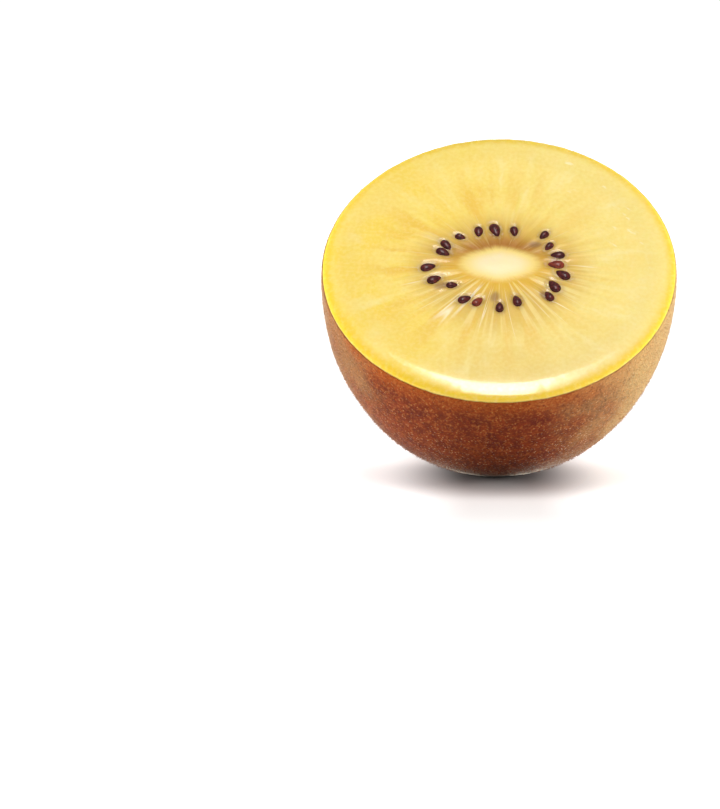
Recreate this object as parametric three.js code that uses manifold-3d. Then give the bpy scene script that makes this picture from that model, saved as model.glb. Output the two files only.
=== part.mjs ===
// Half of a golden kiwi fruit, cut across its middle. It lies on its round skin as such a half
// does, with the cut face up and turned forwards, on a small spot that its weight presses flat.
//
// Millimetres, +Z up. The origin is the middle of the flat spot, and the cut face looks up and
// towards -Y. Each tissue is drawn upright in the fruit's own frame, where the cut face is z = 0,
// +Z leaves the face and the stem end points down, and the half is then tilted to how it lies.

import * as THREE from "three";
import { mergeVertices } from "three/addons/utils/BufferGeometryUtils.js";
import Module from "manifold-3d";

// The fruit
const RADIUS = 26.85; // of the widest section
const WIDEST = 3.1; // from the cut face down to the widest section
const HALF_LENGTH = 37.6; // from the cut face to the stem end
const PRESS = 0.4; // how far the resting spot is pressed flat
const SEGMENTS = 60; // sides of every round section
const ROWS = { outside: 18, inside: 10, plug: 7, face: 3, rim: 4 }; // steps along each profile
const CROWDING = 1.8; // of the rows towards the stem end, where the dimple needs them

// Its tissues. They grow as one, and the gap only keeps their solids apart.
const SKIN = 0.8; // thickness
const GAP = 0.3;
const RIM_DROP = 0.9; // from the cut face down to the edge of the skin
const RIM_ROUND = 2.6; // width of the rounded edge of the flesh
const SEED_FLESH = { radius: 11.2, depth: 26 }; // the deeper gold flesh round the core
const CORE = { radius: 4.7, depth: 21, dome: 0.3 };

// The sections across the fruit: the core is a wide oval with pointed ends, and the rings round it
// grow rounder until they meet the skin.
const OVAL = 0.46;
const OVAL_FADE = 2.75;
const CORE_POINT = 0.05;
const OUTLINE_WAVES = [
  { size: 0.008, count: 2, turn: -1.4 },
  { size: 0.003, count: 3, turn: 2.5 },
];

// The stem end: a shallow dimple with the dry round scar of the stalk in it
const DIMPLE = { depth: 1.3, radius: 5 };
const SCAR = { height: 0.7, radius: 2.1, edge: 0.4 };

// Seeds lie in one oval round the core, long axis outwards, half sunk in the flesh.
const SEED_COUNT = 20;
const SEED_OVAL = { x: 9.7, y: 7.3, middle: -0.4 }; // its middle lies a little below the core
const SEED = { long: 1.1, wide: 0.68, thick: 0.5 }; // half sizes
const SEED_TAPER = 0.28; // how much slimmer the end towards the core is
const SEED_SINK = 0.1; // of the seed's middle below the face
const SEED_SCATTER = { bearing: 0.11, reach: 0.14, lean: 0.55, size: 0.2 };
const SEED_SIDES = 8;
const SEED_RINGS = 6;
const RAY_HEIGHT = 0.12; // of the rays of flesh between the seeds

const WELD = 1e-4; // points closer than this are one point

// How the half lies: it balances where its weight is straight above the spot it rests on. Below
// the widest section it is half an ellipsoid, whose weight is 3/8 of the way down, and above it
// is nearly a round slab.
const below = HALF_LENGTH - WIDEST;
const bowl = (2 / 3) * below;
const weightDepth = (bowl * (3 / 8) * below - WIDEST ** 2 / 2) / (bowl + WIDEST);
const touchDepth = weightDepth / (1 - (RADIUS / below) ** 2);
const touchReach = RADIUS * Math.sqrt(1 - (touchDepth / below) ** 2);
const TILT = Math.atan2(touchReach / RADIUS ** 2, touchDepth / below ** 2);
const FACE_CENTRE = new THREE.Vector3(
  0,
  touchReach * Math.cos(TILT) - (WIDEST + touchDepth) * Math.sin(TILT),
  touchReach * Math.sin(TILT) + (WIDEST + touchDepth) * Math.cos(TILT) - PRESS,
);

const wasm = await Module();
wasm.setup();

// A number from 0 to 1 that is always the same for the same seed and channel.
function draw(seed, channel) {
  const mixed = Math.sin(seed * 12.9898 + channel * 78.233) * 43758.5453;
  return mixed - Math.floor(mixed);
}

// How far a ring of this radius and height reaches at this bearing once it has the fruit's own
// section. out is 0 at the middle of the cut face and 1 at the skin.
function reach(radius, height, bearing) {
  const out = Math.hypot(radius / RADIUS, height / HALF_LENGTH);
  const fade = Math.max(0, 1 - out);
  const stretch = 1 + OVAL * fade ** OVAL_FADE;
  const oval = 1 / Math.hypot(Math.cos(bearing) / stretch, Math.sin(bearing) * stretch);
  const point = 1 + CORE_POINT * fade ** 2 * Math.cos(4 * bearing);
  const waves = OUTLINE_WAVES.reduce(
    (sum, wave) => sum + wave.size * Math.cos(wave.count * bearing + wave.turn),
    0,
  );
  return radius * oval * point * (1 + waves * out ** 2);
}

// The dimple round the stem scar raises the surface by this much at this radius.
function dimple(radius) {
  return DIMPLE.depth * Math.exp(-((radius / DIMPLE.radius) ** 2));
}

// The stalk's scar stands out of the skin by this much at this radius.
function scar(radius) {
  return SCAR.height / (1 + Math.exp((radius - SCAR.radius) / (SCAR.edge / 2)));
}

// Points down the side of the fruit, from the edge of the skin to the stem end, inset from the
// outside of the skin.
function side(inset, steps, raised = () => 0) {
  const radius = RADIUS - inset;
  const length = below - inset;
  const first = Math.asin((RIM_DROP - WIDEST) / length);
  const points = [];
  for (let i = 0; i <= steps; i++) {
    const angle = first + (Math.PI / 2 - first) * (1 - (1 - i / steps) ** CROWDING);
    const r = i === steps ? 0 : radius * Math.cos(angle);
    const level = -WIDEST - length * Math.sin(angle);
    points.push(new THREE.Vector2(r, level + dimple(r) - raised(r)));
  }
  return points;
}

// Points down the side of a plug of tissue inside the fruit, from the cut face to its tip.
function plugSide(radius, depth) {
  const points = [];
  for (let i = 0; i <= ROWS.plug; i++) {
    const angle = (i / ROWS.plug) * (Math.PI / 2);
    const r = i === ROWS.plug ? 0 : radius * Math.cos(angle);
    points.push(new THREE.Vector2(r, -depth * Math.sin(angle)));
  }
  return points;
}

// A profile turned about the fruit's axis, then given the fruit's own section. height adds relief
// to what lies on the cut face.
function turned(profile, height = () => 0) {
  const geometry = new THREE.LatheGeometry([...profile].reverse(), SEGMENTS);
  geometry.rotateX(Math.PI / 2);
  const place = geometry.getAttribute("position");
  for (let i = 0; i < place.count; i++) {
    const radius = Math.hypot(place.getX(i), place.getY(i));
    const bearing = Math.atan2(place.getY(i), place.getX(i));
    const level = place.getZ(i);
    const share = radius > 0 ? reach(radius, level, bearing) / radius : 1;
    const raised = level > -WELD ? height(radius, bearing) : 0;
    place.setXYZ(i, place.getX(i) * share, place.getY(i) * share, level + raised);
  }
  return geometry;
}

function solidOf(geometry) {
  const bare = geometry.clone();
  bare.deleteAttribute("normal");
  bare.deleteAttribute("uv");
  const merged = mergeVertices(bare, WELD);
  return new wasm.Manifold(
    new wasm.Mesh({
      numProp: 3,
      vertProperties: new Float32Array(merged.getAttribute("position").array),
      triVerts: new Uint32Array(merged.index.array),
    }),
  );
}

function geometryOf(solid) {
  const mesh = solid.getMesh();
  const geometry = new THREE.BufferGeometry();
  geometry.setAttribute("position", new THREE.BufferAttribute(mesh.vertProperties, 3));
  geometry.setIndex(new THREE.BufferAttribute(mesh.triVerts, 1));
  geometry.computeVertexNormals();
  return geometry;
}

// The skin: a thin cup with the stem's scar outside, pressed flat where it meets the table.
function skin() {
  const outside = side(0, ROWS.outside, scar);
  const inside = side(SKIN, ROWS.inside).reverse();
  const cup = solidOf(turned([...inside, ...outside]));
  const up = [0, Math.sin(TILT), Math.cos(TILT)];
  return geometryOf(cup.trimByPlane(up, -FACE_CENTRE.z));
}

// The outer flesh: it fills the skin, rounds over at the rim and leaves room for the seed flesh.
function outerFlesh() {
  const wall = side(SKIN + GAP, ROWS.inside);
  const pocket = plugSide(SEED_FLESH.radius + GAP, SEED_FLESH.depth + GAP).reverse();
  const flatStart = pocket.at(-1).x;
  const flatEnd = wall[0].x - RIM_ROUND;
  const flat = [];
  for (let i = 1; i <= ROWS.face; i++) {
    flat.push(new THREE.Vector2(THREE.MathUtils.lerp(flatStart, flatEnd, i / ROWS.face), 0));
  }
  const edge = [];
  for (let i = 1; i < ROWS.rim; i++) {
    const angle = (i / ROWS.rim) * (Math.PI / 2);
    edge.push(
      new THREE.Vector2(flatEnd + RIM_ROUND * Math.sin(angle), RIM_DROP * (Math.cos(angle) - 1)),
    );
  }
  return turned([...pocket, ...flat, ...edge, ...wall]);
}

// One seed, a drop with its slim end towards the core. The draws shift, turn and size it a little.
function seed(i) {
  const scatter = (channel) => 2 * draw(i + 1, channel) - 1;
  const bearing = (i * 2 * Math.PI) / SEED_COUNT + SEED_SCATTER.bearing * scatter(1);
  const distance = 1 + SEED_SCATTER.reach * scatter(2);
  const x = SEED_OVAL.x * distance * Math.cos(bearing);
  const y = SEED_OVAL.middle + SEED_OVAL.y * distance * Math.sin(bearing);
  const size = 1 + SEED_SCATTER.size * scatter(4);
  const geometry = new THREE.SphereGeometry(1, SEED_SIDES, SEED_RINGS);
  geometry.rotateZ(-Math.PI / 2);
  const place = geometry.getAttribute("position");
  for (let j = 0; j < place.count; j++) {
    const along = place.getX(j);
    const slim = 1 + SEED_TAPER * along;
    place.setXYZ(j, along, place.getY(j) * slim, place.getZ(j) * slim);
  }
  geometry.scale(SEED.long * size, SEED.wide * size, SEED.thick);
  geometry.rotateZ(Math.atan2(y, x) + SEED_SCATTER.lean * scatter(3));
  geometry.translate(x, y, -SEED_SINK);
  return solidOf(geometry);
}

// The seed flesh: the deeper gold ring round the core, with low rays between its seeds.
function seedFlesh() {
  const pocket = plugSide(CORE.radius + GAP, CORE.depth + GAP).reverse();
  const inner = pocket.at(-1).x;
  const face = [];
  for (let i = 1; i <= ROWS.face; i++) {
    const share = i / (ROWS.face + 1);
    face.push(new THREE.Vector2(THREE.MathUtils.lerp(inner, SEED_FLESH.radius, share), 0));
  }
  const rays = (radius, bearing) => {
    const share = (radius - inner) / (SEED_FLESH.radius - inner);
    return RAY_HEIGHT * Math.sin(Math.PI * share) * Math.sin((SEED_COUNT * bearing) / 2) ** 2;
  };
  const wall = plugSide(SEED_FLESH.radius, SEED_FLESH.depth);
  let solid = solidOf(turned([...pocket, ...face, ...wall], rays));
  for (let i = 0; i < SEED_COUNT; i++) {
    solid = solid.add(seed(i));
  }
  return geometryOf(solid);
}

// The core: the pale woody middle, a tapered plug with a slightly raised face.
function core() {
  const face = [];
  for (let i = 0; i < ROWS.face; i++) {
    face.push(new THREE.Vector2((CORE.radius * i) / ROWS.face, 0));
  }
  const dome = (radius) => CORE.dome * (1 - (radius / CORE.radius) ** 2);
  return turned([...face, ...plugSide(CORE.radius, CORE.depth)], dome);
}

function piece(name, geometry, color, roughness) {
  const mesh = new THREE.Mesh(
    geometry,
    new THREE.MeshStandardMaterial({ color, roughness, metalness: 0 }),
  );
  mesh.name = name;
  return mesh;
}

const fruit = new THREE.Group();
fruit.add(
  piece("skin", skin(), 0x8a5228, 0.85),
  piece("outer_flesh", outerFlesh(), 0xf6d96b, 0.3),
  piece("seed_flesh", seedFlesh(), 0xc9973f, 0.3),
  piece("core", core(), 0xfdf0c4, 0.45),
);
fruit.rotation.x = TILT;
fruit.position.copy(FACE_CENTRE);

const part = new THREE.Group();
part.add(fruit);

export default part;
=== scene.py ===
"""Half a golden kiwi fruit, lying on its round skin with the cut face up and forwards.

Each tissue is worked out in millimetres in the fruit's own frame, where the cut face is z = 0, +Z
leaves the face and the stem end points down. It is then laid down as the half lies, in metres.
"""

import math

import bpy
import numpy as np
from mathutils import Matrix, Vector


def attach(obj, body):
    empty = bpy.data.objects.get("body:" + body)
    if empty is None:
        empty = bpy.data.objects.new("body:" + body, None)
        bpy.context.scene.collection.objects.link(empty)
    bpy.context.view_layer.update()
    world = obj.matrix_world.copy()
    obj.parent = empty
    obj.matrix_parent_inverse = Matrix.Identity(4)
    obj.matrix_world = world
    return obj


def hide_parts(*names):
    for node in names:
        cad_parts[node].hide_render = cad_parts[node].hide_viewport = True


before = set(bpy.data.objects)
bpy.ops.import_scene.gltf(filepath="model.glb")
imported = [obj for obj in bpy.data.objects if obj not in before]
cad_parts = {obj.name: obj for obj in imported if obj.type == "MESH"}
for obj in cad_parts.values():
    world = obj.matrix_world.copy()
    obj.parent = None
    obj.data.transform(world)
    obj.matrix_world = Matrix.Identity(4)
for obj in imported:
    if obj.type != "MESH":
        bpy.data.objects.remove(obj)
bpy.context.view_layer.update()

# The flesh
# The juicy inside grew as one body: a pale woody core, a deeper gold ring that the seeds hang in,
# and thick walls fed by fine veins that run outwards. The knife left its face wet, and its rim
# rounds over where the flesh shrank back from the cut edge of the skin.

RADIUS = 26.85
WIDEST = 3.1
HALF_LENGTH = 37.6
PRESSED = 0.4
CORE_RADIUS = 4.7
CORE_DOME = 0.3
RING_RADIUS = 11.2
RAY_HEIGHT = 0.12
SEED_COUNT = 20
SEED_OVAL = (9.7, 7.3)
SEED_MIDDLE = -0.4
SEED_LONG = 1.1
SEED_WIDE = 0.68
SEED_THICK = 0.5
SEED_TAPER = 0.28
SEED_SINK = 0.1
SEED_SCATTER = {"bearing": 0.11, "reach": 0.14, "turn": 0.55, "size": 0.2}
OVAL = 0.46
OVAL_FADE = 2.75
CORE_POINT = 0.05
OUTLINE_WAVES = ((0.008, 2, -1.4), (0.003, 3, 2.5))
DIMPLE_DEPTH = 1.3
DIMPLE_RADIUS = 5.0
RIM_DROP = 0.9
RIM_SWING = 0.35
RIM_DEEPEST = math.radians(-125)
RIM_BEND = 2.6
RAGGED = 0.08
FLAT_END = 21.6
LIP_THICKNESS = 0.24
SKIN_THICKNESS = 0.8
GROWN_TOGETHER = 0.06
COLUMNS = 480
FACE_ROWS = 104
RIM_ROWS = 26
WALL_ROWS = 10
SUNK_SEEDS = 7
SUNK_RING = 0.94
SUNK_FIRST_DRAW = 40
DOME_SPREAD = 0.75
VEIN_HEIGHT = 0.02
POCKET_DEPTH = 0.14
POCKET_REACH = 1.05
POCKET_WIDTH = 0.4
SWELL_HEIGHT = 0.12

below = HALF_LENGTH - WIDEST
bowl = 2 / 3 * below
weight_depth = (bowl * 3 / 8 * below - WIDEST**2 / 2) / (bowl + WIDEST)
touch_depth = weight_depth / (1 - (RADIUS / below) ** 2)
touch_reach = RADIUS * math.sqrt(1 - (touch_depth / below) ** 2)
tilt = math.atan2(touch_reach / RADIUS**2, touch_depth / below**2)
touch = WIDEST + touch_depth
face_centre = np.array(
    [
        0,
        touch_reach * math.cos(tilt) - touch * math.sin(tilt),
        touch_reach * math.sin(tilt) + touch * math.cos(tilt) - PRESSED,
    ]
)
around = np.arange(COLUMNS) * 2 * math.pi / COLUMNS


def lay_down(points):
    """Millimetres in the fruit's own frame to metres where the half lies, pressed flat below."""
    across = [1, 0, 0]
    up_the_face = [0, math.cos(tilt), math.sin(tilt)]
    out_of_the_face = [0, -math.sin(tilt), math.cos(tilt)]
    laid = points @ np.array([across, up_the_face, out_of_the_face]) + face_centre
    laid[:, 2] = np.maximum(laid[:, 2], 0)
    return laid / 1000


def reach(radius, height, bearing):
    """How far out a round ring comes at this bearing once it has the fruit's own section."""
    out = np.hypot(radius / RADIUS, height / HALF_LENGTH)
    fade = np.maximum(0, 1 - out)
    stretch = 1 + OVAL * fade**OVAL_FADE
    oval = 1 / np.hypot(np.cos(bearing) / stretch, np.sin(bearing) * stretch)
    point = 1 + CORE_POINT * fade**2 * np.cos(4 * bearing)
    waves = sum(size * np.cos(count * bearing + turn) for size, count, turn in OUTLINE_WAVES)
    return radius * oval * point * (1 + waves * out**2)


def ripple(bearing, counts, channel):
    """An uneven wave round the fruit, from about -1 to 1."""
    total = 0
    for count in counts:
        total = total + np.cos(count * bearing + 2 * math.pi * draw(count, channel))
    return total / len(counts)


def draw(number, channel):
    """A number from 0 to 1 that is always the same for the same number and channel."""
    mixed = math.sin(number * 12.9898 + channel * 78.233) * 43758.5453
    return mixed - math.floor(mixed)


def seed_place(number, bearing, ring):
    """Where a seed lies near this share of the oval: x, y, how it is turned, and its size."""
    scatter = [2 * draw(number + 1, channel) - 1 for channel in (1, 2, 3, 4)]
    bearing += SEED_SCATTER["bearing"] * scatter[0]
    distance = ring + SEED_SCATTER["reach"] * scatter[1]
    x = SEED_OVAL[0] * distance * math.cos(bearing)
    y = SEED_MIDDLE + SEED_OVAL[1] * distance * math.sin(bearing)
    turn = math.atan2(y, x) + SEED_SCATTER["turn"] * scatter[2]
    return x, y, turn, 1 + SEED_SCATTER["size"] * scatter[3]


def nearness(x, y, places):
    """How far from the nearest seed a point is, where its edge is at 1."""
    nearest = np.full(np.shape(x), 99.0)
    for px, py, turn, size in places:
        along = (x - px) * math.cos(turn) + (y - py) * math.sin(turn)
        aside = (y - py) * math.cos(turn) - (x - px) * math.sin(turn)
        away = np.hypot(along / (SEED_LONG * size), aside / (SEED_WIDE * size))
        nearest = np.minimum(nearest, away)
    return nearest


def rim_depth(bearing):
    """How far below the face the slightly ragged cut edge of the skin is."""
    swing = RIM_SWING * np.cos(bearing - RIM_DEEPEST)
    return RIM_DROP + swing + RAGGED * ripple(bearing, (17, 29, 41, 59, 97), 13)


def dimple(radius):
    """How far the dimple round the stalk's scar draws the stem end in."""
    return DIMPLE_DEPTH * np.exp(-((radius / DIMPLE_RADIUS) ** 2))


def side_ring(share, inset):
    """A ring down the side of the fruit, from the edge of the skin at 0 to the stem end at 1."""
    length = below - inset
    first = np.arcsin((rim_depth(around) - WIDEST) / length)
    angle = first + (math.pi / 2 - first) * share
    radius = (RADIUS - inset) * np.cos(angle) if share < 1 else 0 * around
    return radius, dimple(radius) - WIDEST - length * np.sin(angle)


def turned(name, rings, relief=None):
    """A closed mesh through rings of radii and heights. The first and last are single points."""
    radius = np.array([ring[0] for ring in rings])
    height = np.array([ring[1] for ring in rings])
    bearing = np.broadcast_to(around, radius.shape)
    out = reach(radius, height, bearing)
    x = out * np.cos(bearing)
    y = out * np.sin(bearing)
    z = height if relief is None else height + relief(radius, height, bearing, x, y)
    own = np.stack([x, y, z], -1)
    round_disc = np.stack([radius * np.cos(bearing), radius * np.sin(bearing), height], -1)
    columns = np.arange(COLUMNS)
    following = (columns + 1) % COLUMNS
    last = 1 + (len(rings) - 2) * COLUMNS
    faces = [(0, 1 + a, 1 + b) for a, b in zip(columns.tolist(), following.tolist())]
    for row in range(len(rings) - 3):
        upper = 1 + row * COLUMNS
        lower = upper + COLUMNS
        corners = [upper + columns, lower + columns, lower + following, upper + following]
        faces += np.stack(corners, -1).tolist()
    lowest = last - COLUMNS
    faces += [(lowest + a, last, lowest + b) for a, b in zip(columns.tolist(), following.tolist())]
    mesh = bpy.data.meshes.new(name)
    mesh.from_pydata(lay_down(kept_once(own)).tolist(), [], faces)
    keep(mesh, "disc", kept_once(round_disc))
    mesh.polygons.foreach_set("use_smooth", [True] * len(mesh.polygons))
    return mesh, kept_once(own)


def kept_once(grid):
    """The points of a grid of rings, with one point for the first ring and one for the last."""
    flat = grid.reshape(len(grid), COLUMNS, -1)
    return np.concatenate([flat[0, :1], flat[1:-1].reshape(-1, flat.shape[-1]), flat[-1, :1]])


def keep(mesh, name, values):
    """Values of a mesh's points, kept with it under this name."""
    values = np.asarray(values, np.float32)
    if values.ndim == 2:
        attribute = mesh.attributes.new(name, "FLOAT_VECTOR", "POINT")
        attribute.data.foreach_set("vector", values.ravel())
    else:
        attribute = mesh.attributes.new(name, "FLOAT", "POINT")
        attribute.data.foreach_set("value", values)


def stand(name, mesh, material, slot, *nodes):
    """A finished piece of the fruit in the scene."""
    mesh.materials.clear()
    mesh.materials.append(material)
    piece = bpy.data.objects.new(name, mesh)
    bpy.context.scene.collection.objects.link(piece)
    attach(piece, "root")
    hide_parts(*nodes)
    return piece


class Value:
    """A socket of a node tree, so that sums over it are written as Python expressions."""

    def __init__(self, net, socket):
        self.net = net
        self.socket = socket

    def math(self, operation, *others):
        values = dict(enumerate((self, *others)))
        return self.net.node("ShaderNodeMath", {"operation": operation}, values)

    def __add__(self, other):
        return self.math("ADD", other)

    def __sub__(self, other):
        return self.math("SUBTRACT", other)

    def __mul__(self, other):
        return self.math("MULTIPLY", other)

    def __truediv__(self, other):
        return self.math("DIVIDE", other)

    def __pow__(self, other):
        return self.math("POWER", other)

    def __rsub__(self, other):
        return self.net.node("ShaderNodeMath", {"operation": "SUBTRACT"}, {0: other, 1: self})

    __radd__ = __add__
    __rmul__ = __mul__

    def __abs__(self):
        return self.math("ABSOLUTE")

    def step(self, low, high):
        """0 below low and 1 above high, or the other way round, and smooth between them."""
        settings = {"interpolation_type": "SMOOTHSTEP"}
        ends = {"Value": self, "From Min": min(low, high), "From Max": max(low, high)}
        rising = self.net.node("ShaderNodeMapRange", settings, ends)
        return rising if low < high else 1 - rising

    def other(self, name):
        """Another output of the same node."""
        return Value(self.net, self.socket.node.outputs[name])


class Net:
    """A node tree that is filled one node at a time."""

    def __init__(self, tree):
        self.tree = tree
        tree.nodes.clear()

    def node(self, kind, settings, values, output=0):
        made = self.tree.nodes.new(kind)
        for key, value in settings.items():
            setattr(made, key, value)
        for key, value in values.items():
            if isinstance(value, Value):
                self.tree.links.new(value.socket, made.inputs[key])
            else:
                made.inputs[key].default_value = value
        return Value(self, made.outputs[output]) if len(made.outputs) else None

    def vector(self, x, y, z):
        return self.node("ShaderNodeCombineXYZ", {}, {0: x, 1: y, 2: z})

    def noise(self, vector, scale, detail=2.0):
        return self.node("ShaderNodeTexNoise", {}, {"Vector": vector, "Scale": scale, "Detail": detail})

    def mix(self, share, first, second):
        """Second over first, by this share."""
        values = {0: share, 6: first, 7: second}
        return self.node("ShaderNodeMix", {"data_type": "RGBA"}, values, 2)

    def bump(self, height, strength, distance):
        values = {"Height": height, "Strength": strength, "Distance": distance}
        return self.node("ShaderNodeBump", {}, values)


def tint(code):
    """A colour as shaders take it, from its six-figure code."""
    parts = [int(code[i : i + 2], 16) / 255 for i in (0, 2, 4)]
    return tuple(p / 12.92 if p < 0.04045 else ((p + 0.055) / 1.055) ** 2.4 for p in parts) + (1,)


def painted(name, surface, paint):
    """A material whose surface values are constants, and what paint adds to them."""
    material = bpy.data.materials.new(name)
    material.use_nodes = True
    net = Net(material.node_tree)
    shader = net.node("ShaderNodeBsdfPrincipled", {}, {**surface, **paint(net)})
    net.node("ShaderNodeOutputMaterial", {}, {"Surface": shader})
    return material


seed_places = [seed_place(i, i * 2 * math.pi / SEED_COUNT, 1) for i in range(SEED_COUNT)]
sunk_places = []
for i in range(SUNK_SEEDS):
    between = math.floor(i * SEED_COUNT / SUNK_SEEDS) + 0.5
    bearing = between * 2 * math.pi / SEED_COUNT
    sunk_places.append(seed_place(i + SUNK_FIRST_DRAW, bearing, SUNK_RING))


def face_relief(radius, height, bearing, x, y):
    """The core's dome, low rays between the seeds, veins, a pocket round each seed, a slow swell."""
    on_face = height > -0.001
    share = np.clip((radius - CORE_RADIUS) / (RING_RADIUS - CORE_RADIUS), 0, 1)
    rays = RAY_HEIGHT * np.sin(math.pi * share) * np.sin(SEED_COUNT * bearing / 2) ** 2
    dome = CORE_DOME * np.exp(-((radius / (DOME_SPREAD * CORE_RADIUS)) ** 2))
    veins = VEIN_HEIGHT * ripple(bearing, (29, 43, 61, 83), 7) * np.clip((radius - 5) / 5, 0, 1)
    away = nearness(x, y, seed_places)
    pocket = -POCKET_DEPTH * np.exp(-(((away - POCKET_REACH) / POCKET_WIDTH) ** 2))
    swell = SWELL_HEIGHT * np.sin(x / 9 + 1) * np.cos(y / 8) * np.clip((radius - 11) / 8, 0, 1)
    fade_out = np.clip((FLAT_END - radius) / 5, 0, 1)
    return on_face * (rays + dome + pocket + (veins + swell) * fade_out)


rings = [(0 * around + radius, 0 * around) for radius in np.linspace(0, FLAT_END, FACE_ROWS)]
for i in range(1, RIM_ROWS + 1):
    share = 1 - (1 - i / RIM_ROWS) ** 2
    edge = RADIUS - LIP_THICKNESS + GROWN_TOGETHER
    fall = 1 - (1 - share**RIM_BEND) ** 0.5
    rings.append((0 * around + FLAT_END + (edge - FLAT_END) * share, -rim_depth(around) * fall))
for i in range(1, WALL_ROWS + 1):
    thick = LIP_THICKNESS + (SKIN_THICKNESS - LIP_THICKNESS) * min(1, 3 * i / WALL_ROWS)
    rings.append(side_ring(i / WALL_ROWS, thick - GROWN_TOGETHER))
flesh_mesh, flesh_points = turned("flesh", rings, face_relief)
# The paint reads these: a darker tone round a seed, partly its own and partly painted shade of the dark
# seed, the husk at its edge, and deeper seeds.
away = nearness(flesh_points[:, 0], flesh_points[:, 1], seed_places)
keep(flesh_mesh, "haze_and_seed_shade", np.exp(-((np.maximum(away - 0.9, 0) / 0.85) ** 2)))
keep(flesh_mesh, "husk", np.exp(-(((away - 1.32) / 0.16) ** 2)))
away = nearness(flesh_points[:, 0], flesh_points[:, 1], sunk_places)
keep(flesh_mesh, "sunk", 1 / (1 + np.exp((away - 0.85) / 0.14)))


def flesh_paint(net):
    """Golden walls with streaks, an amber ring with pale rays, a pale core and a lemon rim."""
    disc = net.node("ShaderNodeAttribute", {"attribute_name": "disc"}, {}, "Vector")
    haze_and_seed_shade = net.node("ShaderNodeAttribute", {"attribute_name": "haze_and_seed_shade"}, {}, "Fac")
    husk = net.node("ShaderNodeAttribute", {"attribute_name": "husk"}, {}, "Fac")
    sunk = net.node("ShaderNodeAttribute", {"attribute_name": "sunk"}, {}, "Fac")
    x = net.node("ShaderNodeSeparateXYZ", {}, {"Vector": disc})
    y = x.other("Y")
    radius = (x * x + y * y) ** 0.5
    east = x / (radius + 0.01)
    north = y / (radius + 0.01)
    cells = net.noise(disc, 1.6, 4.0)
    clouds = net.noise(disc, 0.14, 3.0)
    sway = (net.noise(disc, 0.22, 2.0) - 0.5) * 0.6
    broad = net.noise(net.vector(east * 6 + sway, north * 6 + sway, radius * 0.08), 1.0, 3.0)
    fine = net.noise(net.vector(east * 15 + 20, north * 15, radius * 0.05), 1.0, 2.0)
    thread = net.noise(net.vector(east * 5.5, north * 5.5 + 30, radius * 0.02), 1.0, 1.0)
    # Paler and less yellow towards the right: a painted glare on the wet face.
    flesh = net.mix(x.step(-22, 18), tint("f2d252"), tint("f0d87a"))
    flesh = net.mix(y.step(-9, -20) * x.step(-14, -2) * 0.7, flesh, tint("e6cb78"))
    flesh = net.mix(clouds.step(0.35, 0.7) * 0.4, flesh, tint("f5e08c"))
    streaks = broad.step(0.44, 0.66) * radius.step(24.5, 13) * (x.step(16, -10) * 0.4 + 0.3)
    flesh = net.mix(streaks, flesh, tint("e8b838"))
    pale = broad.step(0.46, 0.3) * radius.step(11, 16) * radius.step(26, 20)
    flesh = net.mix(pale * 0.5, flesh, tint("f4e4a0"))
    flesh = net.mix(cells.step(0.5, 0.28) * 0.1, flesh, tint("deb044"))
    # Whitish streaks at the upper right: knife scratches whose whiteness is a painted glint of light.
    scratch_glints = net.noise(net.vector(x * 0.35 - y * 0.3, x * 0.7 + y * 0.9, 7.0), 0.7, 3.0)
    region = radius.step(15, 19) * radius.step(25, 23) * x.step(4, 12) * y.step(-3, 4)
    flesh = net.mix(scratch_glints.step(0.62, 0.74) * region * 0.7, flesh, tint("fdf4d0"))
    amber = net.mix(y.step(-1.5, 4), tint("e0b23a"), tint("a86c10"))
    ring = net.mix(radius.step(4.9, 8.9), amber, tint("dcb654"))
    edge = radius + (broad - 0.5) * 4 + y * 0.13
    colour = net.mix(edge.step(8.8, 14.5), ring, flesh)
    front = y.step(4, -5) * 0.6 + 0.25
    rays = fine.step(0.52, 0.66) * edge.step(15, 11) * radius.step(4.2, 5.6)
    colour = net.mix(rays * front * 0.7, colour, tint("f2dc90"))
    threads = (1 - abs(thread - 0.5).step(0.0, 0.022)) * edge.step(15.5, 11.5) * radius.step(5, 7)
    colour = net.mix(threads * front * broad.step(0.38, 0.56), colour, tint("fbeecb"))
    # Darker round each seed: partly the flesh's own tone, partly painted shade of the dark seed seen
    # through the clear flesh.
    colour = net.mix(haze_and_seed_shade * 0.4, colour, tint("a47a3a"))
    colour = net.mix(sunk * 0.62, colour, tint("7e5440"))
    core_edge = radius + (fine - 0.5) * 0.9 + abs(north) * 0.35 + 0.3
    colour = net.mix(husk * cells.step(0.42, 0.6) * 0.4, colour, tint("e6d0b4"))
    colour = net.mix(core_edge.step(5.7, 4.0), colour, tint("f2d67c"))
    colour = net.mix(radius.step(4.2, 1.6) * 0.8, colour, tint("f8e8be"))
    colour = net.mix(radius.step(24.8, 26.2) * 0.85, colour, tint("e8c018"))
    colour = net.mix(radius.step(26.61, 26.66) * 0.7, colour, tint("7c4a0a"))
    sparkle = cells.step(0.4, 0.75) * radius.step(9, 15) * 0.16
    colour = net.mix(sparkle, colour, tint("fbeeb8"))
    height = cells * 0.25 + fine * radius.step(20, 12) * radius.step(4, 6)
    return {
        "Base Color": colour,
        "Coat Weight": 0.3 + radius.step(20, 23) * 0.7,
        "Normal": net.bump(height, 0.25, 0.0002),
    }


flesh_surface = {
    "Roughness": 0.34,
    "Specular IOR Level": 0.3,
    "Subsurface Weight": 0.35,
    "Subsurface Radius": (1.0, 0.6, 0.12),
    "Subsurface Scale": 0.0022,
    "Coat Roughness": 0.1,
    "Coat IOR": 1.45,
}
flesh_material = painted("golden flesh", flesh_surface, flesh_paint)
stand("fruit_flesh", flesh_mesh, flesh_material, "golden_flesh", "outer_flesh", "seed_flesh", "core")

# The seeds
# Each is a small hard drop with a shiny dark coat that formed in its own pocket, its slim end
# towards the core. The cut laid them bare, and a few are not ripe and still reddish.

UNRIPE_ABOVE = 0.84


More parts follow.
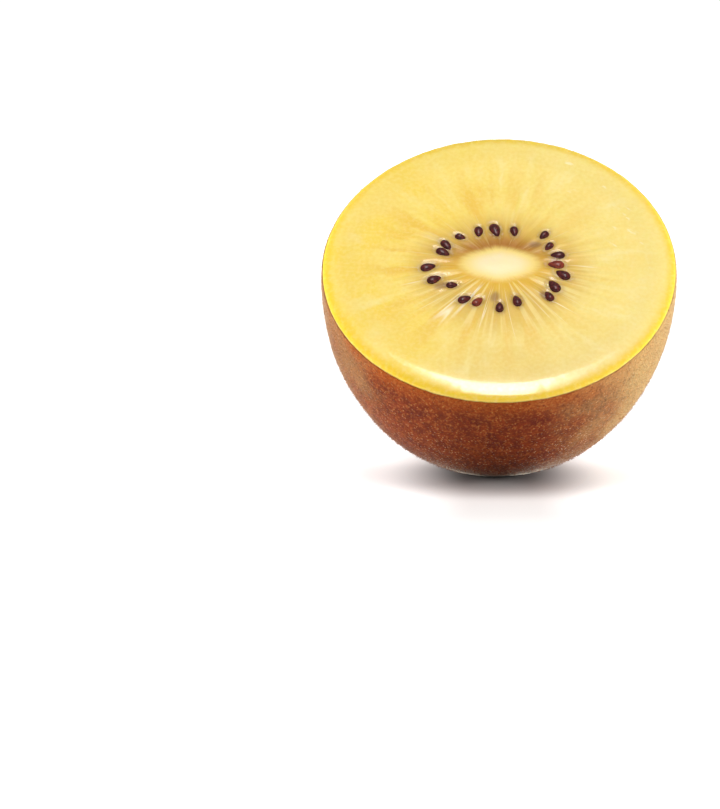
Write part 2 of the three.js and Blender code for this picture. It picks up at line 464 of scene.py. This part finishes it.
def grown(name, base, inputs, build):
    """The plain mesh that a Geometry Nodes tree makes from a base mesh."""
    kinds = {float: "NodeSocketFloat", int: "NodeSocketInt", bpy.types.Material: "NodeSocketMaterial"}
    tree = bpy.data.node_groups.new(name, "GeometryNodeTree")
    tree.interface.new_socket("Geometry", in_out="INPUT", socket_type="NodeSocketGeometry")
    tree.interface.new_socket("Geometry", in_out="OUTPUT", socket_type="NodeSocketGeometry")
    keys = {}
    for label, value in inputs.items():
        socket = tree.interface.new_socket(label, in_out="INPUT", socket_type=kinds[type(value)])
        keys[label] = socket.identifier
    net = Net(tree)
    given = net.node("NodeGroupInput", {}, {}, "Geometry")
    net.node("NodeGroupOutput", {}, {"Geometry": build(net, given)})
    holder = bpy.data.objects.new(name, base)
    bpy.context.scene.collection.objects.link(holder)
    modifier = holder.modifiers.new(name, "NODES")
    modifier.node_group = tree
    for label, value in inputs.items():
        modifier[keys[label]] = value
    depsgraph = bpy.context.evaluated_depsgraph_get()
    mesh = bpy.data.meshes.new_from_object(holder.evaluated_get(depsgraph))
    bpy.data.objects.remove(holder)
    return mesh


def named(net, name):
    """A value kept with the points of a mesh."""
    return net.node("GeometryNodeInputNamedAttribute", {"data_type": "FLOAT"}, {"Name": name})


def grow_seeds(net, places):
    """A drop-shaped seed on every place, turned and sized by the place's own values."""
    given = places
    ball = net.node("GeometryNodeMeshUVSphere", {}, {"Segments": 24, "Rings": 14, "Radius": 1.0})
    x = net.node("ShaderNodeSeparateXYZ", {}, {"Vector": net.node("GeometryNodeInputPosition", {}, {})})
    along = x.other("Z")
    slim = 1 + along * given.other("Taper")
    drop = net.vector(
        along * given.other("Half length"),
        x.other("Y") * slim * given.other("Half width"),
        x * slim * (0 - given.other("Half thickness")),
    )
    seed = net.node("GeometryNodeSetPosition", {}, {"Geometry": ball, "Position": drop})
    size = named(net, "size")
    values = {
        "Points": places,
        "Instance": seed,
        "Rotation": net.vector(0.0, 0.0, named(net, "turn")),
        "Scale": net.vector(size, size, 1.0),
    }
    seeds = net.node("GeometryNodeInstanceOnPoints", {}, values)
    seeds = net.node("GeometryNodeRealizeInstances", {}, {"Geometry": seeds})
    laid = {
        "Geometry": seeds,
        "Translation": tuple(face_centre / 1000),
        "Rotation": (tilt, 0.0, 0.0),
        "Scale": (0.001, 0.001, 0.001),
    }
    seeds = net.node("GeometryNodeTransform", {}, laid)
    seeds = net.node("GeometryNodeSetShadeSmooth", {}, {"Geometry": seeds})
    return net.node(
        "GeometryNodeSetMaterial", {}, {"Geometry": seeds, "Material": given.other("Coat")}
    )


def seed_paint(net):
    """Almost black brown, and reddish where a seed isn't ripe."""
    spot = net.node("ShaderNodeTexCoord", {}, {}, "Object")
    ripe = net.node("ShaderNodeAttribute", {"attribute_name": "redness"}, {}, "Fac")
    grain = net.noise(spot, 2500.0, 2.0)
    colour = net.mix(grain.step(0.4, 0.7), tint("36090b"), tint("5c1d1a"))
    colour = net.mix(ripe * grain.step(0.25, 0.6), colour, tint("7c2f1c"))
    return {"Base Color": colour, "Normal": net.bump(grain, 0.2, 0.00005)}


seed_surface = {
    "Roughness": 0.4,
    "Specular IOR Level": 0.2,
    "Coat Weight": 0.25,
    "Coat Roughness": 0.2,
}
seed_coat = painted("seed coat", seed_surface, seed_paint)
places_mesh = bpy.data.meshes.new("seed places")
places_mesh.from_pydata([(x, y, -SEED_SINK) for x, y, turn, size in seed_places], [], [])
keep(places_mesh, "turn", [place[2] for place in seed_places])
keep(places_mesh, "size", [place[3] for place in seed_places])
keep(places_mesh, "redness", [float(draw(i, 9) > UNRIPE_ABOVE) for i in range(SEED_COUNT)])
seed_inputs = {
    "Half length": SEED_LONG,
    "Half width": SEED_WIDE,
    "Half thickness": SEED_THICK,
    "Taper": SEED_TAPER,
    "Coat": seed_coat,
}
seeds_mesh = grown("seeds in their oval", places_mesh, seed_inputs, grow_seeds)
stand("fruit_seeds", seeds_mesh, seed_coat, "seed_coat")

# The skin
# A thin brown peel of dried cells, tough as leather, that grew with the fruit and cracked into
# fine golden and red-brown specks. The stem end has a dimple and the corky scar of the stalk.

SCAR_HEIGHT = 0.7
SCAR_RADIUS = 2.1
SCAR_EDGE = 0.4
CRACK_DEPTH = 0.12
CRACKS = 9
SLOW_LUMPS = 0.1
QUICK_LUMPS = 0.03
BARE_BELOW = 0.001
OUTSIDE_ROWS = 96
INSIDE_ROWS = 12
LIP_ROWS = 5
LIP_ROUND = 0.2
CROWDING = 1.5


def scar(radius):
    """How far the scar of the stalk stands out of the skin."""
    cracks = 1 + CRACK_DEPTH * np.cos(CRACKS * around + 5 * radius / SCAR_RADIUS)
    return SCAR_HEIGHT * cracks / (1 + np.exp((radius - SCAR_RADIUS) / (SCAR_EDGE / 2)))


def lumps(share):
    """Slow and quick swellings of the peel."""
    slow = SLOW_LUMPS * ripple(around + 2 * share, (3, 5, 8), 11)
    quick = QUICK_LUMPS * ripple(around - 3 * share, (17, 23, 31), 12) * np.cos(21 * share)
    return (slow + quick) * min(1, 12 * share) * min(1, 5 * (1 - share))


rings = []
for i in range(INSIDE_ROWS + 1):
    share = 1 - i / INSIDE_ROWS
    thick = LIP_THICKNESS + (SKIN_THICKNESS - LIP_THICKNESS) * min(1, 3 * share)
    radius, height = side_ring(share, thick)
    rings.append((radius, height))
inside_points = 1 + INSIDE_ROWS * COLUMNS
for i in range(1, LIP_ROWS + 1):
    angle = math.pi / 2 * i / LIP_ROWS
    radius, height = side_ring(0, LIP_THICKNESS * (1 - math.sin(angle)))
    rings.append((radius, height + LIP_ROUND * (math.cos(angle) - 1) * 0.5))
for i in range(1, OUTSIDE_ROWS + 1):
    share = 1 - (1 - i / OUTSIDE_ROWS) ** CROWDING
    radius, height = side_ring(share, 0)
    radius = radius + lumps(share) * (share < 1)
    settle = max(0, 1 - i / 3)
    rings.append((radius, height - scar(radius) - LIP_ROUND / 2 * settle))
skin_mesh, skin_points = turned("skin", rings)
downy = np.ones(len(skin_points))
downy[: inside_points + 2 * COLUMNS] = 0
downy[np.hypot(skin_points[:, 0], skin_points[:, 1]) < 1.2 * SCAR_RADIUS] = 0
downy[lay_down(skin_points)[:, 2] < BARE_BELOW] = 0
keep(skin_mesh, "downy", downy)


def own_frame(net):
    """Where a point of a piece is in the fruit's own frame, in millimetres."""
    spot = net.node("ShaderNodeTexCoord", {}, {}, "Object")
    values = {
        "Vector": spot,
        "Location": tuple(face_centre / 1000),
        "Rotation": (tilt, 0.0, 0.0),
        "Scale": (0.001, 0.001, 0.001),
    }
    return net.node("ShaderNodeMapping", {"vector_type": "TEXTURE"}, values)


def skin_paint(net):
    """Red-brown with gold and dark specks, painted light turning it tan at both sides, and grey-brown
    cork on the scar.
    """
    spot = own_frame(net)
    x = net.node("ShaderNodeSeparateXYZ", {}, {"Vector": spot})
    y = x.other("Y")
    z = x.other("Z")
    patches = net.noise(spot, 0.16, 3.0)
    mottle = net.noise(spot, 0.7, 3.0)
    grain = net.noise(spot, 2.4, 2.0)
    specks = net.node("ShaderNodeTexVoronoi", {}, {"Vector": spot, "Scale": 1.7}, "Distance")
    dots = net.node("ShaderNodeTexVoronoi", {}, {"Vector": spot, "Scale": 1.0}, "Distance")
    colour = net.mix(mottle.step(0.35, 0.65), tint("5c1c08"), tint("782d0a"))
    colour = net.mix(patches.step(0.4, 0.7) * 0.3, colour, tint("8a4214"))
    colour = net.mix(z.step(-6, -0.5) * 0.7, colour, tint("a8500f"))
    # Painted light: the skin turns paler tan towards both sides, as if lit there by the side lamps and
    # sheen.
    aside = x + (patches - 0.5) * 16
    low = y.step(18, -3)
    colour = net.mix(aside.step(5, 25) * low * 0.85, colour, tint("a8905c"))
    colour = net.mix(aside.step(-16, -28) * low * 0.75, colour, tint("947048"))
    colour = net.mix(grain.step(0.5, 0.66) * 0.32, colour, tint("b8743c"))
    colour = net.mix(grain.step(0.48, 0.34) * 0.32, colour, tint("4a1404"))
    colour = net.mix(specks.step(0.32, 0.14) * mottle.step(0.4, 0.6) * 0.45, colour, tint("c48c48"))
    colour = net.mix(dots.step(0.22, 0.12) * 0.5, colour, tint("4a1d12"))
    from_axis = (x * x + y * y) ** 0.5
    corky = from_axis.step(2.9, 2.0) * z.step(-30, -32)
    colour = net.mix(corky, colour, net.mix(grain.step(0.3, 0.7), tint("5a4634"), tint("94795a")))
    height = grain * 0.5 + specks.step(0.35, 0.1) + mottle
    return {"Base Color": colour, "Normal": net.bump(height, 0.5, 0.00015)}


skin_surface = {
    "Roughness": 0.72,
    "Specular IOR Level": 0.15,
    "Sheen Weight": 0.5,
    "Sheen Roughness": 0.18,
    "Sheen Tint": (1.0, 0.92, 0.76, 1.0),
}
skin_material = painted("brown peel", skin_surface, skin_paint)

# The down on the skin
# Golden kiwi fruit keep a bloom of very short, stiff, fair hairs that grew from the peel. They
# are too short to see one by one, but they catch the light and give the skin its soft edge; painted
# light makes them fairer at both sides.

HAIRS_PER_MM2 = 5.5
HAIR_LENGTH = 0.32
HAIR_WIDTH = 0.05
HAIR_LEAN = 0.9
FULL_TURN = 6.3
SMALLEST_HAIR = 0.5
LARGEST_HAIR = 1.3
HAIR_SEED = 3


def grow_down(net, skin):
    """Short three-sided hairs that lean every way, thickly on the outside of the skin."""
    given = skin
    density = named(net, "downy") * given.other("Hairs per square millimetre") * 1e6
    values = {"Mesh": skin, "Density": density, "Seed": given.other("Seed")}
    roots = net.node("GeometryNodeDistributePointsOnFaces", {}, values)
    shape = {
        "Vertices": 3,
        "Radius Top": 0.0,
        "Radius Bottom": given.other("Width") * 0.0005,
        "Depth": given.other("Length") * 0.001,
    }
    hair = net.node("GeometryNodeMeshCone", {"fill_type": "NGON"}, shape)
    least = (-HAIR_LEAN, -HAIR_LEAN, 0.0)
    most = (HAIR_LEAN, HAIR_LEAN, FULL_TURN)
    lean = {0: least, 1: most, "Seed": given.other("Seed")}
    lean = net.node("FunctionNodeRandomValue", {"data_type": "FLOAT_VECTOR"}, lean)
    turned_by = {"Rotation": roots.other("Rotation"), "Rotate By": lean}
    turned_by = net.node("FunctionNodeRotateRotation", {"rotation_space": "LOCAL"}, turned_by)
    sizes = {2: SMALLEST_HAIR, 3: LARGEST_HAIR, "Seed": given.other("Seed")}
    sizes = net.node("FunctionNodeRandomValue", {"data_type": "FLOAT"}, sizes, 1)
    values = {"Points": roots, "Instance": hair, "Rotation": turned_by, "Scale": sizes}
    down = net.node("GeometryNodeInstanceOnPoints", {}, values)
    down = net.node("GeometryNodeRealizeInstances", {}, {"Geometry": down})
    return net.node(
        "GeometryNodeSetMaterial", {}, {"Geometry": down, "Material": given.other("Hair")}
    )


def down_paint(net):
    """As brown as the skin below, and fairer at both sides, which is painted light."""
    spot = own_frame(net)
    x = net.node("ShaderNodeSeparateXYZ", {}, {"Vector": spot})
    grain = net.noise(spot, 3.0, 1.0)
    brown = net.mix(grain.step(0.35, 0.65), tint("74380e"), tint("9a5824"))
    return {"Base Color": net.mix(abs(x).step(11, 24) * 0.5, brown, tint("d0ac78"))}


down_surface = {"Roughness": 0.8, "Specular IOR Level": 0.05}
down_material = painted("fair down", down_surface, down_paint)
down_inputs = {
    "Hairs per square millimetre": HAIRS_PER_MM2,
    "Length": HAIR_LENGTH,
    "Width": HAIR_WIDTH,
    "Seed": HAIR_SEED,
    "Hair": down_material,
}
down_mesh = grown("down on the skin", skin_mesh, down_inputs, grow_down)
stand("fruit_skin", skin_mesh, skin_material, "skin", "skin")
stand("skin_down", down_mesh, down_material, "skin")

# The floor, the light and the camera
# A plain floor, shaded under the fruit and glowing beside it and far away, soft boxes above, at
# both sides and behind, a window that only the wet rim mirrors, and a long lens a little above.

FLOOR_SIZE = 6.0
FAR_GLOW = 0.75
SIDE_GLOW = 0.55
SHADE_REACH = 0.026
SIDE_GLOW_STARTS = (0.004, 0.018)
SIDE_GLOW_ENDS = (0.06, 0.03)
FAR_GLOW_STARTS = (0.03, 0.25)
LIT_SPOT = (0, -0.005, 0.03)
ROOM_LIGHT = 0.36
CAMERA_ELEVATION = math.radians(8.1)
CAMERA_DISTANCE = 0.679
CAMERA_ASIDE = (-0.0211, -0.0212)
LENS = 200


def floor_paint(net):
    """White, shaded near the contact, with a glow beside it and one far away."""
    spot = net.node("ShaderNodeTexCoord", {}, {}, "Object")
    x = net.node("ShaderNodeSeparateXYZ", {}, {"Vector": spot})
    y = x.other("Y")
    away = (x * x + y * y) ** 0.5
    sides = abs(x).step(*SIDE_GLOW_STARTS) * away.step(*SIDE_GLOW_ENDS) * SIDE_GLOW
    glow = away.step(*FAR_GLOW_STARTS) * FAR_GLOW + sides
    base = net.mix(away.step(0.0, SHADE_REACH), tint("6a6462"), tint("ebe8e6"))
    return {"Base Color": base, "Emission Color": net.vector(glow, glow, glow)}


floor_mesh = bpy.data.meshes.new("floor")
half = FLOOR_SIZE / 2
floor_corners = [(-half, -half, 0), (half, -half, 0), (half, half, 0), (-half, half, 0)]
floor_mesh.from_pydata(floor_corners, [], [(0, 1, 2, 3)])
floor_mesh.materials.append(
    painted("white floor", {"Roughness": 0.9, "Emission Strength": 1.0}, floor_paint)
)
floor = bpy.data.objects.new("floor", floor_mesh)
bpy.context.scene.collection.objects.link(floor)


def aim(thing, place, target):
    """Stands a light or a camera at a place, looking at a target."""
    holder = bpy.data.objects.new(thing.name, thing)
    bpy.context.scene.collection.objects.link(holder)
    holder.location = place
    holder.rotation_euler = (Vector(target) - Vector(place)).to_track_quat("-Z", "Y").to_euler()
    return holder


def soft_box(name, place, size, power, matt=True, shine=True):
    """A soft light of this width and height, for matt surfaces, for shine or for both."""
    light = bpy.data.lights.new(name, "AREA")
    light.shape = "RECTANGLE"
    light.size, light.size_y = size
    light.energy = power
    box = aim(light, place, LIT_SPOT)
    box.visible_diffuse = matt
    box.visible_glossy = shine


soft_box("box above", (-0.03, -0.26, 0.58), size=(0.3, 0.4), power=2.3, shine=False)
soft_box("window in the rim", (0.015, -0.28, 0.56), size=(0.13, 0.32), power=1.5, matt=False)
soft_box("glow round the window", (0.02, -0.28, 0.56), size=(0.23, 0.36), power=0.85, matt=False)
soft_box("box at the left", (-0.55, 0.1, 0.075), size=(0.3, 0.12), power=3.7, shine=False)
soft_box("box at the right", (0.55, 0.08, 0.075), size=(0.3, 0.12), power=5.2, shine=False)
soft_box("box behind", (0.0, 0.7, 0.6), size=(1.0, 0.4), power=3.6, shine=False)

world = bpy.data.worlds.new("white room")
world.use_nodes = True
bpy.context.scene.world = world
room = Net(world.node_tree)
sky = room.node("ShaderNodeBackground", {}, {"Color": (1, 1, 1, 1), "Strength": ROOM_LIGHT})
room.node("ShaderNodeOutputWorld", {}, {"Surface": sky})

back = Vector((0, -math.cos(CAMERA_ELEVATION), math.sin(CAMERA_ELEVATION)))
up = Vector((0, math.sin(CAMERA_ELEVATION), math.cos(CAMERA_ELEVATION)))
centre = Vector(face_centre / 1000)
target = centre + Vector((CAMERA_ASIDE[0], 0, 0)) + CAMERA_ASIDE[1] * up
camera_data = bpy.data.cameras.new("camera")
camera_data.lens = LENS
camera_data.clip_start = 0.01
bpy.context.scene.camera = aim(camera_data, target + CAMERA_DISTANCE * back, target)
bpy.context.scene.view_settings.view_transform = "Standard"
